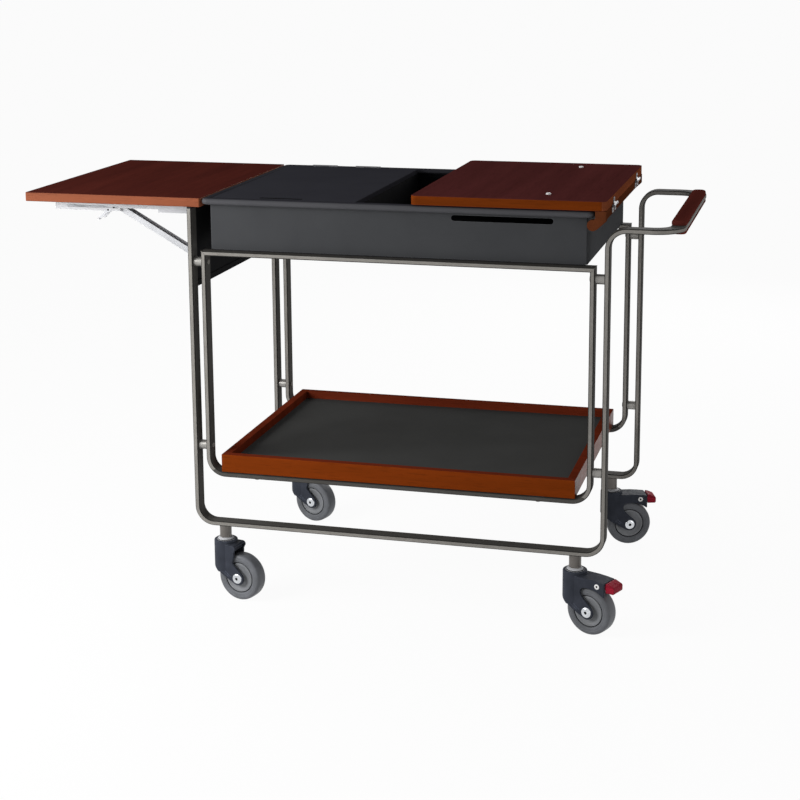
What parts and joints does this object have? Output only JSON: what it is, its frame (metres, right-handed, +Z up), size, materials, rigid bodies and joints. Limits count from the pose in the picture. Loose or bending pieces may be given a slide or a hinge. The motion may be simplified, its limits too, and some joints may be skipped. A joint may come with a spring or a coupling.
{
  "type": "flambe cart",
  "caption": "Serving cart on swivel casters with a drop leaf, a lidded well, a board that flips onto the push handle, and a lower tray.",
  "frame": {"origin": "on the floor, in the middle of the overall length and width", "axes": "+X along the cart towards the push handle, +Y from the front with the slot towards the back, +Z up"},
  "size_m": [1.381, 0.6234, 0.8863],
  "materials": {
    "tube": "satin pewter",
    "tube_inner": "satin pewter",
    "bolt_steel": "satin",
    "black_rubber": "matte",
    "cap_plastic": "matte",
    "grip_wood": "satin",
    "tray_wood": "satin",
    "tray_floor": "matte",
    "panel_paint": "satin",
    "box_paint": "satin",
    "box_black": "matte",
    "rim_metal": "satin",
    "lid_dark": "satin",
    "hinge_chrome": "polished",
    "top_wood": "satin",
    "leaf_wood": "satin",
    "bumper_white": "matte",
    "bracket_steel": "satin light grey",
    "caster_steel": "satin",
    "fork_plastic": "matte",
    "tyre_grey": "matte",
    "hub_grey": "matte",
    "axle_chrome": "polished",
    "pedal_red": "gloss"
  },
  "bodies": {
    "frame": {"outer_tube_near": "tube", "outer_tube_far": "tube", "handle_tube": "tube", "inner_loop_near": "tube_inner", "inner_loop_far": "tube_inner", "frame_studs": "tube_inner", "frame_bolts": "bolt_steel", "post_caps": "cap_plastic", "grip_upper": "grip_wood", "grip_lower": "grip_wood", "tray_sides": "tray_wood", "tray_ends": "tray_wood", "tray_floor": "tray_floor", "seat_pads": "black_rubber", "end_panel": "panel_paint", "front_panel": "box_paint", "back_panel": "box_paint", "side_panels": "box_paint", "box_floor": "box_black", "box_divider": "box_black", "top_rim": "rim_metal", "hinge_rail": "tray_wood", "rail_lugs": "tray_wood", "rail_angles": "bolt_steel", "lid_hinge_fixed": "hinge_chrome", "hinge_pins": "hinge_chrome", "board_hinge_fixed": "hinge_chrome", "wall_arms": "bracket_steel", "strut_pivots": "bolt_steel", "caster_stems": "caster_steel"},
    "leaf": {"leaf": "leaf_wood", "shelf_arms": "bracket_steel", "arm_pins": "bolt_steel"},
    "strut_near": {"strut_near": "bracket_steel"},
    "strut_far": {"strut_far": "bracket_steel"},
    "lever_near": {"lever_near": "bracket_steel"},
    "lever_far": {"lever_far": "bracket_steel"},
    "lid": {"lid": "lid_dark", "lid_hinge_moving": "hinge_chrome"},
    "board": {"flip_board": "top_wood", "board_hinge_moving": "hinge_chrome", "bumpers": "bumper_white"},
    "caster_nl": {"fork_nl": "fork_plastic", "axle_nl": "axle_chrome"},
    "wheel_nl": {"tyre_nl": "tyre_grey", "hub_nl": "hub_grey"},
    "caster_nr": {"fork_nr": "fork_plastic", "axle_nr": "axle_chrome"},
    "wheel_nr": {"tyre_nr": "tyre_grey", "hub_nr": "hub_grey"},
    "caster_fr": {"fork_fr": "fork_plastic", "axle_fr": "axle_chrome"},
    "wheel_fr": {"tyre_fr": "tyre_grey", "hub_fr": "hub_grey"},
    "caster_fl": {"fork_fl": "fork_plastic", "axle_fl": "axle_chrome"},
    "wheel_fl": {"tyre_fl": "tyre_grey", "hub_fl": "hub_grey"},
    "pedal_nr": {"pedal_nr": "pedal_red"},
    "pedal_fr": {"pedal_fr": "pedal_red"}
  },
  "joints": [
    {"name": "leaf_fold", "type": "hinge", "parent": "frame", "child": "leaf", "pos_m": [-0.33175, 0.00232, 0.8301], "axis": [0, -1, 0], "range_deg": [0, 90]},
    {"name": "strut_near_fold", "type": "hinge", "parent": "frame", "child": "strut_near", "pos_m": [-0.33375, -0.21868, 0.7401], "axis": [0, -1, 0], "range_deg": [0, 119.69]},
    {"name": "strut_far_fold", "type": "hinge", "parent": "frame", "child": "strut_far", "pos_m": [-0.33375, 0.22332, 0.7401], "axis": [0, -1, 0], "range_deg": [0, 119.69]},
    {"name": "lever_near_rock", "type": "hinge", "parent": "leaf", "child": "lever_near", "pos_m": [-0.5175, -0.21868, 0.8251], "axis": [0, -1, 0], "range_deg": [0, 10], "stiffness_Nm_per_rad": 0.2, "springref_deg": -17.19},
    {"name": "lever_far_rock", "type": "hinge", "parent": "leaf", "child": "lever_far", "pos_m": [-0.5175, 0.22332, 0.8251], "axis": [0, -1, 0], "range_deg": [0, 10], "stiffness_Nm_per_rad": 0.2, "springref_deg": -17.19},
    {"name": "lid_lift", "type": "hinge", "parent": "frame", "child": "lid", "pos_m": [-0.1225, 0.25682, 0.8635], "axis": [-1, 0, 0], "range_deg": [0, 95]},
    {"name": "board_flip", "type": "hinge", "parent": "frame", "child": "board", "pos_m": [0.546, 0.00232, 0.8643], "axis": [0, 1, 0], "range_deg": [0, 180]},
    {"name": "swivel_nl", "type": "hinge", "parent": "frame", "child": "caster_nl", "pos_m": [-0.2635, -0.25768, 0.128], "axis": [0, 0, 1], "continuous": true},
    {"name": "wheel_nl_spin", "type": "hinge", "parent": "caster_nl", "child": "wheel_nl", "pos_m": [-0.22453, -0.26668, 0.05], "axis": [0.225, 0.9744, 0], "continuous": true},
    {"name": "swivel_nr", "type": "hinge", "parent": "frame", "child": "caster_nr", "pos_m": [0.4885, -0.25768, 0.128], "axis": [0, 0, 1], "continuous": true},
    {"name": "wheel_nr_spin", "type": "hinge", "parent": "caster_nr", "child": "wheel_nr", "pos_m": [0.52559, -0.27267, 0.05], "axis": [0.3746, 0.9272, 0], "continuous": true},
    {"name": "brake_nr_press", "type": "hinge", "parent": "caster_nr", "child": "pedal_nr", "pos_m": [0.54784, -0.28166, 0.11], "axis": [0.3746, 0.9272, 0], "range_deg": [0, 12]},
    {"name": "swivel_fr", "type": "hinge", "parent": "frame", "child": "caster_fr", "pos_m": [0.4885, 0.26232, 0.128], "axis": [0, 0, 1], "continuous": true},
    {"name": "wheel_fr_spin", "type": "hinge", "parent": "caster_fr", "child": "wheel_fr", "pos_m": [0.52632, 0.27534, 0.05], "axis": [-0.3256, 0.9455, 0], "continuous": true},
    {"name": "brake_fr_press", "type": "hinge", "parent": "caster_fr", "child": "pedal_fr", "pos_m": [0.54901, 0.28315, 0.11], "axis": [-0.3256, 0.9455, 0], "range_deg": [0, 12]},
    {"name": "swivel_fl", "type": "hinge", "parent": "frame", "child": "caster_fl", "pos_m": [-0.2635, 0.26232, 0.128], "axis": [0, 0, 1], "continuous": true},
    {"name": "wheel_fl_spin", "type": "hinge", "parent": "caster_fl", "child": "wheel_fl", "pos_m": [-0.22546, 0.24996, 0.05], "axis": [0.309, 0.9511, 0], "continuous": true}
  ],
  "couplings": [
    {"joint": "strut_near_fold", "follows": "leaf_fold", "ratio": 1.3288},
    {"joint": "strut_far_fold", "follows": "leaf_fold", "ratio": 1.3288}
  ]
}
